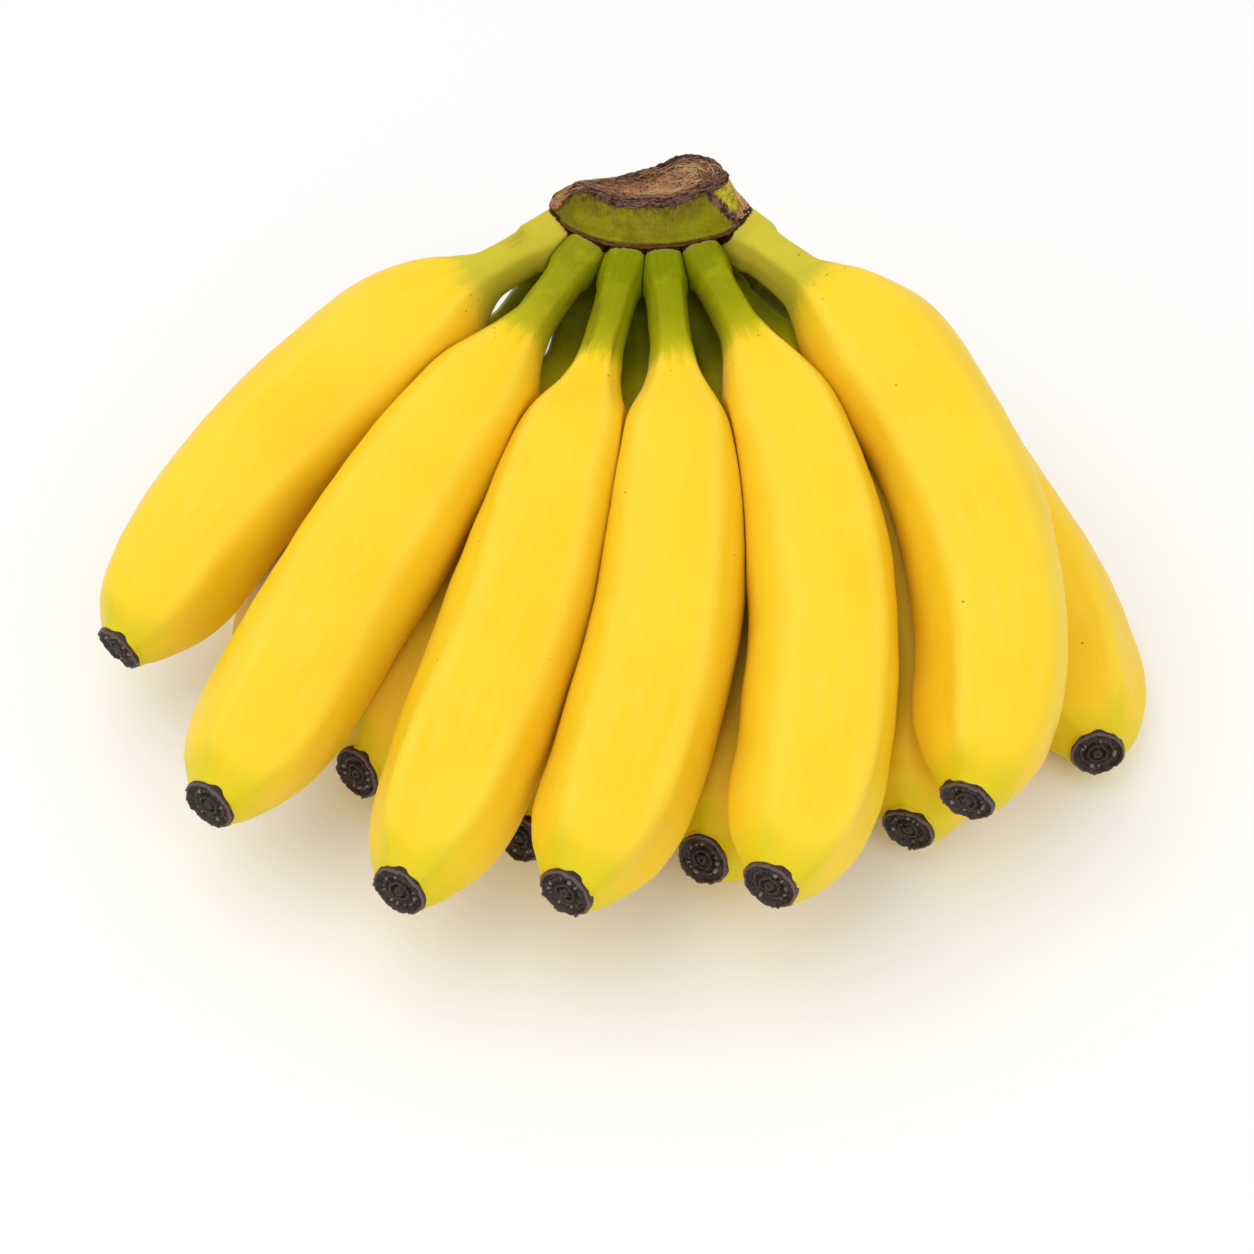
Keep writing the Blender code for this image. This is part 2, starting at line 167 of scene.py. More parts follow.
# The crown, ring by ring from its foot up to its lip, over the green crescent and the bark band, into the cut
# face: the places of a ring's left and right ends, its front and back, and where it is widest
CrownRing = namedtuple("CrownRing", "height left right front widest back")
CROWN_RINGS = [CrownRing(*row) for row in (
    (49, -7, 15, 74, 81, 87),
    (54, -12, 20, 71, 80.5, 90),
    (66, -15.5, 24.5, 67.5, 79, 90.5),
    (73, -16.4, 26.2, 65.2, 77.6, 89),
    (76, -17, 27.5, 63.8, 76.2, 87.6),
    (76.8, -17.8, 28.5, 62.8, 75.6, 87),
    (77.5, -18.2, 29, 62.1, 75.3, 86.7),
    (78.2, -18.1, 28.8, 62.2, 75.1, 86.4),
    (78.5, -17.6, 28.2, 63.1, 75, 85.6),
    (80.5, -17.5, 27.2, 63.8, 74.6, 84),
    (83.5, -17.4, 25.4, 65, 74.2, 81.6),
    (85.9, -17.3, 23.5, 66.2, 73.9, 79.4),
    (86.6, -17.7, 23.3, 66.2, 73.8, 79.2),
    (87.3, -17.8, 22.7, 66.7, 73.7, 78.7),
    (87.4, -17.3, 21.7, 67.6, 73.6, 78),
    (87, -15.8, 20.2, 68.8, 73.5, 77.2),
    (86, -11, 15.8, 70.6, 73.5, 76),
    (85.4, -4, 10, 72.2, 73.5, 74.8),
    (85.2, 3.2, 4.8, 73.3, 73.5, 73.7),
)]
# The places along that list where one surface ends and the next starts
LIP_START, LIP_MIDDLE, LIP_END = 5.8, 6.3, 7.3
BAND_START, BAND_END = 11.3, 14.8
CUT_END = 18.0
CROWN_SIDES = 400
CROWN_LOOPS = 190
# The ring at the lip's edge, its foot, how much further a place below that counts, and where it is far away
LIP_RING = 6
LIP_FOOT = 75.5
BELOW_FOOT = 0.8
FAR_BELOW = 66.0
FAR_AWAY = 50.0
# Above the lip the crown is a saddle: it falls at its left end, its front has two shoulders, its back is
# lower at the left, and a hump stands at the back right. The pairs are where a form starts and ends.
LIP_HEIGHT = 78.4
FALL_SHARE = 0.92
FALL_LEFT = (10.5, 18.0)
SHOULDER_RISE = 2.0
SHOULDER_SIDES = (5.0, 14.0)
SHOULDER_BACK = (70.0, 76.0)
BACK_FALL = 3.9
BACK_FALL_RIGHT = (-9.0, 9.0)
BACK_FALL_FRONT = (71.0, 78.0)
LIP_TILT = 1.3
TILT_LEFT = (0.0, 18.0)
TILT_HEIGHTS = (70.0, 77.0)
SADDLE_HEIGHTS = (80.0, 86.0)
Hump = namedtuple("Hump", "x y rise size front")
HUMP = Hump(16.5, 78.5, 4.7, 7.6, (69.0, 75.0))
# How rough the bark band, the cut face, the lip and the smooth skin are, in mm
BAND_STRANDS, BAND_LUMPS = 0.17, 0.08
CUT_TORN, CUT_STRANDS = 0.34, 0.03
LIP_WAVES = 0.10
SKIN_STREAKS, SKIN_WAVES = 0.035, 0.10
# Ragged edges between its surfaces, as heights along the ring list and wavelengths
RAGGED = ((0.22, 1.8), (0.14, 0.8))

# Fibres by group: how many and of how many points, where along the ring list they start and how far they
# drift, where they start and how far they run in turns, and how high, thick, pale and curled they are
Fibres = namedtuple("Fibres", "count points starts drift turns runs lifts sizes shades curl")
FIBRES = (
    # Long strands along the band
    Fibres(90, 24, (BAND_START + 0.1, BAND_END + 0.3), (-0.8, 0.8), (0, 1), (0.05, 0.22),
           (0.02, 0.24), (0.06, 0.16), (0.0, 0.7), 0.0),
    # Coarser and finer ones over the cut face
    Fibres(210, 16, (BAND_END - 0.2, CUT_END - 0.8), (-1.5, 1.5), (0, 1), (0.0, 0.05),
           (0.05, 0.6), (0.035, 0.075), (0.3, 1.2), 0.012),
    Fibres(520, 9, (BAND_END + 0.2, CUT_END - 0.4), (-1.3, 1.3), (0, 1), (0.0, 0.05),
           (0.02, 0.7), (0.03, 0.06), (0.3, 1.4), 0.010),
    # Strands up the slope at the left end
    Fibres(70, 18, (BAND_START - 0.8, BAND_START + 1.0), (2.6, 5.4), (0.66, 0.83), (0.0, 0.03),
           (0.03, 0.3), (0.07, 0.17), (0.3, 0.8), 0.0),
    # Pale curls over the hump and the middle
    Fibres(60, 14, (BAND_END + 0.3, CUT_END - 1.2), (-0.9, 0.9), (0.04, 0.40), (0.0, 0.05),
           (0.3, 0.9), (0.045, 0.075), (1.8, 3.6), 0.045),
    # Torn bits at the right corner
    Fibres(26, 8, (LIP_END + 0.4, BAND_START - 1.0), (-1.2, 1.2), (0.205, 0.245), (0.0, 0.02),
           (0.1, 0.7), (0.06, 0.13), (2.2, 3.6), 0.0),
)
FIBRE_SIDES = 5
FIBRE_WOBBLE = 0.22
THREADS = 130

# How yellow the riper stalks are
RIPE_STALKS = {"banana_top_1": 0.70, "banana_top_6": 0.78, "banana_top_2": 0.10, "banana_under_6": 0.5}
# How much further the green reaches in the lower row, as painted shade, and its spread in the upper one
UNDER_GREEN_PAINTED_SHADE = 0.035
GREEN_SPREAD = 0.012
# How much painted shade darkens the lower row's stalks, and where it fades
UNDER_PAINTED_SHADE = 0.45
PAINTED_SHADE_FADE = (0.07, 0.16)
# Brownish stains: banana, direction and half width in degrees, first and last share, strength
STAINS = (
    ("banana_top_3", 33, 9, 0.075, 0.145, 1.0),
    ("banana_top_3", -36, 8, 0.10, 0.15, 0.8),
    ("banana_top_1", 20, 24, 0.03, 0.06, 0.5),
    ("banana_top_2", 48, 7, 0.09, 0.16, 0.6),
    ("banana_top_5", -40, 6, 0.10, 0.15, 0.3),
)

# Colours, as linear red, green and blue
GOLD = (0.92, 0.63, 0.022, 1)
WARM = (0.91, 0.595, 0.014, 1)
# Paler yellow, for streaks and for the painted highlight on the ridges
PALE_AND_HIGHLIGHT = (0.93, 0.68, 0.075, 1)
LIME = (0.66, 0.56, 0.005, 1)
STALK_GREEN = (0.235, 0.258, 0.001, 1)
# A deep green, for the knuckle's tone and as painted shade on the lower row's stalks
STALK_DEEP_AND_SHADE = (0.1, 0.095, 0.002, 1)
STALK_DARK = (0.18, 0.192, 0.001, 1)
STALK_YELLOW = (0.66, 0.56, 0.01, 1)
STALK_RIPE = (0.68, 0.56, 0.05, 1)
SPECK = (0.1, 0.055, 0.008, 1)
SCUFF = (0.17, 0.13, 0.008, 1)
# Lip browns: the darker is partly painted shade under the lip, the lighter partly a painted crest highlight
LIP_BROWN_AND_SHADE = (0.05, 0.021, 0.003, 1)
LIP_EDGE_AND_HIGHLIGHT = (0.17, 0.08, 0.018, 1)
PALE_BARK = (0.36, 0.25, 0.12, 1)
# Nearly black tissue, also painted shade in the flower end's low places
FLOWER_DARK_AND_SHADE = (0.018, 0.01, 0.007, 1)
FLOWER_BROWN = (0.08, 0.045, 0.028, 1)
FLOWER_PURPLE = (0.15, 0.085, 0.08, 1)
# Grey of the beads, partly a painted highlight
FLOWER_GREY_AND_HIGHLIGHT = (0.24, 0.18, 0.155, 1)
CRESCENT_GREEN = (0.285, 0.27, 0.004, 1)
CRESCENT_DARK = (0.165, 0.135, 0.008, 1)
CRESCENT_BROWN = (0.075, 0.05, 0.005, 1)
BACK_SCAR = (0.24, 0.15, 0.055, 1)
BAND_BROWN = (0.215, 0.115, 0.095, 1)
BAND_DARK = (0.036, 0.018, 0.014, 1)
PATCH_YELLOW = (0.66, 0.53, 0.05, 1)
TAN = (0.62, 0.3, 0.13, 1)
TAN_DARK = (0.2, 0.09, 0.045, 1)
THREAD = (0.74, 0.49, 0.26, 1)
FLOOR_WHITE = (0.93, 0.93, 0.93, 1)

# The camera: degrees above level, distance and lens in mm, and the height in mm that it aims at
CAMERA_ELEVATION = 50.7
CAMERA_DISTANCE = 564.0
CAMERA_LENS = 68.9
AIM_HEIGHT = 15.0

# The floor's half width, and the lights' places and sizes in metres, power in watts and colours
FLOOR_HALF = 3.0
SURROUND_STRENGTH = 0.80
LIGHTS = {
    "above": ((-0.40, -0.05, 1.0), 1.1, 4.1, (1.0, 1.0, 0.99)),
    "front": ((0.5, -0.8, 0.9), 0.8, 2.2, (1.0, 0.99, 0.97)),
}

BANANA_SEED = 100
CROWN_SEED = 7


def unit(vectors):
    return vectors / np.linalg.norm(vectors, axis=-1, keepdims=True)


def through(stations, at):
    """A curve through stations of (place, value) that never swings past one, read at each place in at."""
    places, values = np.array(stations).T
    steps = np.diff(places)
    slopes = np.diff(values) / steps
    level = slopes[:-1] * slopes[1:] <= 0
    sums = np.where(level, 1.0, slopes[:-1] + slopes[1:])
    inner = np.where(level, 0.0, 2 * slopes[:-1] * slopes[1:] / sums)
    tangents = np.concatenate([slopes[:1], inner, slopes[-1:]])
    left = np.clip(np.searchsorted(places, at, side="right") - 1, 0, len(steps) - 1)
    x = (at - places[left]) / steps[left]
    start = (1 + 2 * x) * (1 - x) ** 2 * values[left] + x * (1 - x) ** 2 * steps[left] * tangents[left]
    end = x * x * (3 - 2 * x) * values[left + 1] + x * x * (x - 1) * steps[left] * tangents[left + 1]
    return start + end


def smoothed(table, rings):
    """Where a number of rings are along a table's rows, and its columns there, smoothed."""
    steps = np.linspace(0, len(table) - 1, rings)
    rows = np.arange(len(table))
    return steps[:, None], [through(list(zip(rows, column)), steps)[:, None] for column in zip(*table)]


def ramp(values, start, end):
    """0 before start, 1 after end and smooth between them."""
    x = np.clip((values - start) / (end - start), 0.0, 1.0)
    return x * x * (3 - 2 * x)


def within(values, start, full, fade, end):
    """0 outside start and end, 1 from full to fade, with smooth sides."""
    return ramp(values, start, full) * (1 - ramp(values, fade, end))


def bell(values, middle, width):
    return np.exp(-((values - middle) / width) ** 2)


def ripple(points, wavelength, rng, waves=14):
    """Soft bumps of about one wavelength, mean 0 and spread 1: a sum of waves in random directions."""
    directions = unit(rng.normal(size=(waves, points.shape[-1])))
    lengths = wavelength * rng.uniform(0.7, 1.4, waves)
    phases = rng.uniform(0, 2 * np.pi, waves)
    heights = np.cos(points @ (directions * (2 * np.pi / lengths)[:, None]).T + phases)
    return heights.sum(axis=-1) / np.sqrt(waves / 2)


def ripples(points, sizes, rng):
    """Bumps of several sizes on top of each other, from pairs of height and wavelength."""
    return sum(height * ripple(points, wavelength, rng) for height, wavelength in sizes)


def angle_from(turn, way):
    """How far each turn is from a way, in radians between minus and plus half a turn."""
    return np.angle(np.exp(1j * (turn - way)))


def root_of(banana):
    """The middle of the stalk's end, where it meets the crown."""
    place = np.radians(banana.place)
    x = CROWN_MIDDLE[0] + banana.row.half_width * np.sin(place)
    y = CROWN_MIDDLE[1] - banana.row.front_depth * np.cos(place)
    return np.array([x, y, banana.row.height + banana.rise])


def spine_of(banana):
    """A banana's middle line, as points, headings and length: a level arc leaned over between its ends."""
    shares = np.linspace(0.0, 1.0, SPINE_STEPS + 1)
    along = np.clip((shares - BEND_START) / (BEND_END - BEND_START), 0.0, 1.0)
    turn = np.radians(banana.bend) * (GATHERED * ramp(along, 0.0, 1.0) + (1 - GATHERED) * along)
    flat_headings = np.stack([np.cos(turn), np.sin(turn)], axis=1)
    flat_points = np.vstack([[0.0, 0.0], np.cumsum((flat_headings[1:] + flat_headings[:-1]) / 2, axis=0)])
    flat_points /= SPINE_STEPS
    root = root_of(banana)
    chord = np.array(banana.tip, float) - SWING - root
    onward = unit(chord)
    length = np.linalg.norm(chord) / np.linalg.norm(flat_points[-1])
    to_right = unit(np.array([onward[1], -onward[0], 0.0]))
    upward = np.cross(to_right, onward)
    lean = np.radians(banana.lean)
    bend_way = np.cos(lean) * upward + np.sin(lean) * to_right
    swing = np.arctan2(flat_points[-1, 1], flat_points[-1, 0])
    first = np.cos(swing) * onward - np.sin(swing) * bend_way
    second = np.sin(swing) * onward + np.cos(swing) * bend_way
    points = root + length * (flat_points[:, :1] * first + flat_points[:, 1:] * second)
    headings = flat_headings[:, :1] * first + flat_headings[:, 1:] * second
    return points, headings, length


def middles_of(banana, shares):
    """The middle, mean radius and heading of a banana at each share, and its length.

    A share below 0 is in the crown.
    """
    points, headings, length = spine_of(banana)
    spine_shares = np.linspace(0.0, 1.0, len(points))
    at = shares * (1 - FLOWER_LENGTH / length)
    middles = np.stack([np.interp(at, spine_shares, points[:, i]) for i in range(3)], axis=1)
    middles += np.minimum(at, 0.0)[:, None] * length * headings[0]
    onward = unit(np.stack([np.interp(at, spine_shares, headings[:, i]) for i in range(3)], axis=1))
    swung = np.clip((shares - SWING_START) / (1 - SWING_START), 0.0, 1.0)[:, None]
    middles += SWING * swung**2
    onward = unit(onward + SWING * 2 * swung / (length * (1 - SWING_START)))
    radius = through(GIRTH, np.maximum(shares, 0.0))
    radius = radius * (1 + (banana.stalk - 1) * (1 - ramp(shares, STALK_END, BODY_START)))
    radius = radius + banana.shoulder * bell(shares, SHOULDER_MIDDLE, SHOULDER_SIZE)
    radius = radius - banana.neck * bell(shares, NECK_MIDDLE, NECK_SIZE)
    return middles, radius, onward, length


def core_of(banana):
    """The middle line and mean radius of a banana and of the stub behind it."""
    middles, radius, onward, _ = middles_of(banana, np.linspace(0.0, 1.0, CORE_STEPS + 1))
    back = np.linspace(STUB_CORE, 0.0, STUB_STEPS, endpoint=False)[:, None]
    stub = middles[0] - back * onward[0]
    return np.concatenate([stub, middles]), np.append(np.full(STUB_STEPS, radius[0]), radius)


def ring_shares(length):
    """Where the rings are: close together over the knuckle and the tip."""
    return np.concatenate([
        np.linspace(-HIDDEN_STALK / length, STALK_RINGS_END, STALK_RINGS, endpoint=False),
        np.linspace(STALK_RINGS_END, BODY_RINGS_END, BODY_RINGS, endpoint=False),
        np.linspace(BODY_RINGS_END, 1.0, TIP_RINGS),
    ])


def crest_of(shares, turn, rng):
    """How high each point is between the flats, at -1, and the ridges, at 1, and how strong its ridge is."""
    wander = RIDGE_WANDER * ripple(shares[:, None] * np.ones((1, 3)), 0.9, rng)[:, None]
    flat = np.cos(np.pi / RIDGES)
    spread = np.linspace(-RIDGE_ROUNDING, RIDGE_ROUNDING, 7)
    place = turn[None, :, None] + wander[..., None] + spread
    corner = flat / np.cos(np.mod(place + 2 * np.pi / RIDGES / 2, 2 * np.pi / RIDGES) - np.pi / RIDGES)
    crest = (2 * (corner - flat) / (1 - flat) - 1).mean(axis=-1)
    first, second = rng.uniform(0, 2 * np.pi, 2)
    strength = 1 + 0.3 * np.cos(turn - first) + 0.25 * np.cos(2 * turn - second)
    return crest, strength[None] * np.ones_like(crest)


def skin_of(banana, rng):
    """The peel as rings of points, before neighbours press on it, and what its look reads."""
    length = spine_of(banana)[2]
    shares = ring_shares(length)
    middles, radius, onward, _ = middles_of(banana, shares)
    onward = unit(onward + FLOWER_TURN * ramp(shares, 0.95, 1.0)[:, None])
    across = unit(np.cross(onward, FACING))
    facing = np.cross(across, onward)
    body = ramp(shares, STALK_END, BODY_START)
    width = radius * (STALK_WIDTH_SHARE + (1 - STALK_WIDTH_SHARE) * body)
    height = radius * (STALK_HEIGHT_SHARE + (1 - STALK_HEIGHT_SHARE) * body)
    past_root = shares * length
    height = height * (1 - ROOT_FLATTENING * (1 - ramp(shares, 0.0, ROOT_END)))
    tucked = 1 - HIDDEN_TAPER * ramp(-past_root, ROOT_RUN, HIDDEN_STALK)
    width = width * tucked * (1 + ROOT_WIDENING * (1 - ramp(past_root, *WIDENING_FADE)))
    height = height * tucked
    turn = 2 * np.pi * np.arange(SIDES) / SIDES
    crest, strength = crest_of(shares, turn, rng)
    knuckle = KNUCKLE_RISE * (1 - ramp(past_root, KNUCKLE_LENGTH - 1.5, KNUCKLE_LENGTH + 1.0))
    crease = KNUCKLE_CREASE * bell(past_root, KNUCKLE_LENGTH + 0.6, 1.1)
    ridges = through(RIDGE_RISE, np.maximum(shares, 0.0))[:, None] * crest * strength
    form = (1 + knuckle - crease)[:, None] + ridges
    sideways = (width[:, None] * np.sin(turn)[None] * form)[..., None] * across[:, None]
    outward = (height[:, None] * np.cos(turn)[None] * form)[..., None] * facing[:, None]
    skin = middles[:, None] + sideways + outward
    around_x = np.cos(turn)[None]
    around_y = np.sin(turn)[None]
    streak_place = np.stack(np.broadcast_arrays(
        around_x * 6, around_y * 6, past_root[:, None] / 9), axis=-1)
    relief = BROAD_RISE * ripple(skin, BROAD_WAVE, rng) * body[:, None]
    relief += FINE_RISE * ripple(skin, FINE_WAVE, rng)
    relief += (STREAK_RISE - STREAK_FLATTER * body[:, None]) * ripple(streak_place, STREAK_WAVE, rng)
    relief *= 1 - ramp(shares, 0.96, 1.0)[:, None]
    skin = skin + relief[..., None] * unit(skin - middles[:, None])
    looks = {
        "share": shares[:, None] * np.ones_like(crest),
        "crest": crest * strength,
        "around_x": around_x * np.ones_like(crest),
        "around_y": around_y * np.ones_like(crest),
    }
    return skin, middles, radius, onward, looks


def depth_in(points, spine, radius):
    """How far each point is outside the round body of a spine, or inside it as a negative number."""
    squares = (points**2).sum(-1)[:, None] - 2 * points @ spine.T + (spine**2).sum(-1)[None]
    return (np.sqrt(np.maximum(squares, 0.0)) - radius[None]).min(axis=-1)


def over_line(points, centres, own_radius, spine, girth):
    """Whether each point is nearer to a neighbour's skin than to its own, or within the gap."""
    own = np.linalg.norm(points - centres, axis=-1) - own_radius
    return own - depth_in(points, spine, girth) > -GAP


def part_from_neighbours(skin, middles, radius, neighbours):
    """Draws each point that is over the line between two skins back towards its own middle."""
    shape = skin.shape
    centres = np.broadcast_to(middles[:, None], shape).reshape(-1, 3)
    own_radius = np.broadcast_to(radius[:, None], shape[:2]).reshape(-1)
    points = skin.reshape(-1, 3).copy()
    for spine, girth in neighbours:
        near = np.flatnonzero(depth_in(points, spine[::COARSE_STEP], girth[::COARSE_STEP]) < NEAR)
        if not len(near):
            continue
        near = near[over_line(points[near], centres[near], own_radius[near], spine, girth)]
        centre = centres[near]
        reach = points[near] - centre
        low = np.zeros(len(near))
        high = np.ones(len(near))
        for _ in range(HALVINGS):
            share = (low + high) / 2
            over = over_line(centre + share[:, None] * reach, centre, own_radius[near], spine, girth)
            high = np.where(over, share, high)
            low = np.where(over, low, share)
        points[near] = centre + low[:, None] * reach
    return points.reshape(shape)


def before_lip(points):
    """How far in front of the crown's lip each point is, or far away for points well below it."""
    lip = CROWN_RINGS[LIP_RING]
    x = points[..., 0] - CROWN_MIDDLE[0]
    y = points[..., 1] - lip.widest
    height = points[..., 2]
    reach = np.where(x > 0, lip.right - CROWN_MIDDLE[0], CROWN_MIDDLE[0] - lip.left)
    depth = np.where(y < 0, lip.widest - lip.front, lip.back - lip.widest)
    out = np.sqrt((x / reach) ** 2 + (y / depth) ** 2)
    slope = np.sqrt((x / reach**2) ** 2 + (y / depth**2) ** 2)
    distance = (out - 1) * out / np.maximum(slope, 1e-6)
    below = BELOW_FOOT * np.maximum(LIP_FOOT - height, 0.0)
    return np.where(height > FAR_BELOW, distance + below, FAR_AWAY)


def add_flower_end(name, middle, heading, material, rng):
    """The dark disc at the tip: a thin jagged rim with a few spikes, beads, a ring and a nub, all uneven."""
    across = unit(np.cross(heading, FACING))
    upward = np.cross(across, heading)
    turn = 2 * np.pi * np.arange(FLOWER_SIDES) / FLOWER_SIDES
    steps, (size, past) = smoothed(FLOWER_PROFILE, FLOWER_RINGS)
    out = np.stack([np.cos(turn), np.sin(turn)], axis=-1)
    rim = bell(size, RIM_AT, RIM_WIDTH) * ramp(steps, RIM_STEPS - 1.5, RIM_STEPS)
    jagged = rim * ripples(out, JAGS, rng)
    for spike in rng.uniform(0, 2 * np.pi, SPIKES):
        rise = rng.uniform(0.2, 0.5)
        jagged = jagged + rim * rise * bell(angle_from(turn, spike), 0.0, rng.uniform(0.035, 0.07))
    bead_turn = turn + 0.10 * ripple(out, 1.1, rng)
    beads = bell(size, BEADS_AT, BEAD_WIDTH) * ramp(np.cos(BEADS * bead_turn), -0.1, 0.9)
    beads = beads * np.clip(0.65 + 0.6 * ripple(out, 1.3, rng), 0.0, 1.2)
    ring = bell(size, RING_AT, RING_WIDTH) * RING_RISE * np.cos(RING_LOBES * turn + rng.uniform(0, 6))
    bumps = ripples(size[..., None] * out, DISC_BUMPS, rng)
    folds = bell(size, FOLDS_AT, FOLDS_WIDTH) * FOLDS_RISE * ripple(out, 0.45, rng)
    height = past + 0.6 * jagged + BEAD_RISE * beads + ring + folds + bumps * ramp(steps, 2.0, 5.0)
    size = size * (1 + 0.018 * ripple(out, 2.0, rng)) + 0.5 * jagged
    outward = out[:, 1:] * across + out[:, :1] * upward
    rings = middle + height[..., None] * heading + size[..., None] * outward
    ends = np.stack([middle + FLOWER_PROFILE[0][1] * heading, rings[-1].mean(axis=0)])
    for points in (rings, ends):
        points[..., 2] = np.maximum(points[..., 2], 0.0)
    # How low each point is, which the look darkens as painted shade
    looks = {"rim": rim + np.abs(jagged), "beads": np.clip(beads, 0, 1), "low": DISC_TOP - height}
    piece = add_grid(name + "_flower_end", rings, ends, material, looks)
    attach(piece, "root")


def add_mesh(name, points, faces, material, looks):
    """A smooth mesh from the layout's points in mm, with named numbers at each point for its look."""
    shift = np.array([HAND_MIDDLE[0], HAND_MIDDLE[1], 0.0])
    mesh = bpy.data.meshes.new(name)
    mesh.from_pydata(((points - shift) * MM).tolist(), [], faces)
    for key, values in looks.items():
        stored = mesh.attributes.new(key, "FLOAT", "POINT")
        stored.data.foreach_set("value", np.asarray(values, np.float32).ravel())
    mesh.materials.append(material)
    mesh.shade_smooth()
    return place_object(name, mesh)


def place_object(name, data):
    obj = bpy.data.objects.new(name, data)
    bpy.context.scene.collection.objects.link(obj)
    return obj


def grid_faces(rings, sides):
    """Quads between rings of points, then a fan to a last point at each end."""
    near, side = np.meshgrid(np.arange(rings - 1), np.arange(sides), indexing="ij")
    after = (side + 1) % sides
    here = near * sides
    beyond = (near + 1) * sides
    quads = np.stack([here + side, here + after, beyond + after, beyond + side])
    faces = quads.reshape(4, -1).T.tolist()
    start, end = rings * sides, rings * sides + 1
    last = (rings - 1) * sides
    faces += [[start, (i + 1) % sides, i] for i in range(sides)]
    faces += [[end, last + i, last + (i + 1) % sides] for i in range(sides)]
    return faces


def add_grid(name, rings, ends, material, looks):
    """A mesh of rings of points and a point at either end, which looks like the ring beside it."""
    points = np.concatenate([rings.reshape(-1, 3), ends])
    looks = {
        key: np.concatenate([values.ravel(), values[0, :1], values[-1, :1]])
        for key, values in looks.items()
    }
    return add_mesh(name, points, grid_faces(len(rings), rings.shape[1]), material, looks)


def add_banana(name, cores, peel, flower, rng):
    """One banana: its skin, parted from its neighbours and flat where it rests, and its flower end."""
    banana = BANANAS[name]
    skin, middles, radius, onward, looks = skin_of(banana, rng)
    skin = part_from_neighbours(skin, middles, radius, [core for key, core in cores.items() if key != name])
    collar = [middles[-1] + past * onward[-1] + size * (skin[-1] - middles[-1]) for past, size in COLLAR]
    skin = np.concatenate([skin, np.array(collar)])
    skin[..., 2] = np.maximum(skin[..., 2], 0.0)
    looks = {
        key: np.concatenate([values, np.repeat(values[-1:], len(COLLAR), axis=0)])
        for key, values in looks.items()
    }
    looks["edge"] = np.concatenate([np.zeros((len(skin) - EDGE_RINGS, SIDES)), np.ones((EDGE_RINGS, SIDES))])
    looks["before_lip"] = before_lip(skin)
    share = looks["share"]
    looks["stain"] = stains_of(name, share)
    under = banana.row is UNDER_ROW
    # The lower row's further green is painted shade
    green = UNDER_GREEN_PAINTED_SHADE if under else rng.uniform(-GREEN_SPREAD, GREEN_SPREAD)
    looks["green"] = np.full_like(share, green)
    looks["ripe"] = np.full_like(share, RIPE_STALKS.get(name, 0.0))
    # Painted shade on the lower row's stalks, strongest near the crown
    looks["painted_shade_under"] = (UNDER_PAINTED_SHADE if under else 0.0) * (1 - ramp(share, *PAINTED_SHADE_FADE))
    piece = add_grid(name + "_skin", skin, middles[[0, -1]], peel, looks)
    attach(piece, "root")
    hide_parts(name)
    add_flower_end(name, middles[-1], onward[-1], flower, rng)


def stains_of(name, share):
    """Where the stalk is stained: a smudge or long streaks on the stalks that have them."""
    turn = 2 * np.pi * np.arange(SIDES)[None] / SIDES
    stain = np.zeros_like(share)
    for stained, way, width, first, last, strength in STAINS:
        if stained == name:
            along = within(share, first - 0.02, first + 0.01, last - 0.01, last + 0.02)
            across = bell(angle_from(turn, np.radians(way)), 0.0, np.radians(width))
            stain = np.maximum(stain, strength * across * along)
    return stain


def crown_surface(rng):
    """The crown as loops of points, and the place of each point along the list of rings."""
    steps, (height, left, right, front, widest, back) = smoothed(CROWN_RINGS, CROWN_LOOPS)
    turn = 2 * np.pi * np.arange(CROWN_SIDES) / CROWN_SIDES
    reach = np.where(np.sin(turn)[None] > 0, right - CROWN_MIDDLE[0], CROWN_MIDDLE[0] - left)
    depth = np.where(np.cos(turn)[None] > 0, widest - front, back - widest)
    x = CROWN_MIDDLE[0] + reach * np.sin(turn)[None]
    y = widest - depth * np.cos(turn)[None]
    z = crown_height(x, y, height)
    steps = steps * np.ones_like(x)
    return roughen_crown(np.stack([x, y, z], axis=-1), steps, turn, rng), steps


def crown_height(x, y, height):
    """How high a place of a ring is: level below the lip, and shaped like a saddle above it."""
    fall = FALL_SHARE * ramp(-x, *FALL_LEFT)
    hump = HUMP.rise * np.exp(-(np.hypot(x - HUMP.x, y - HUMP.y) / HUMP.size) ** 3) * ramp(y, *HUMP.front)
    sides = ramp(np.abs(x - CROWN_MIDDLE[0]), *SHOULDER_SIDES)
    shoulders = SHOULDER_RISE * sides * (1 - ramp(y, *SHOULDER_BACK))
    back = BACK_FALL * (1 - ramp(x, *BACK_FALL_RIGHT)) * ramp(y, *BACK_FALL_FRONT)
    saddle = (hump + shoulders - back) * ramp(height, *SADDLE_HEIGHTS) * (1 - fall)
    tilt = LIP_TILT * ramp(-x, *TILT_LEFT) * ramp(height, *TILT_HEIGHTS)
    return height - np.maximum(height - LIP_HEIGHT, 0.0) * fall + saddle + tilt


def normals_of(loops):
    """The outward direction at each point of a closed grid of loops."""
    along = np.gradient(loops, axis=0)
    around = np.roll(loops, -1, axis=1) - np.roll(loops, 1, axis=1)
    return unit(np.cross(around, along) + 1e-12)


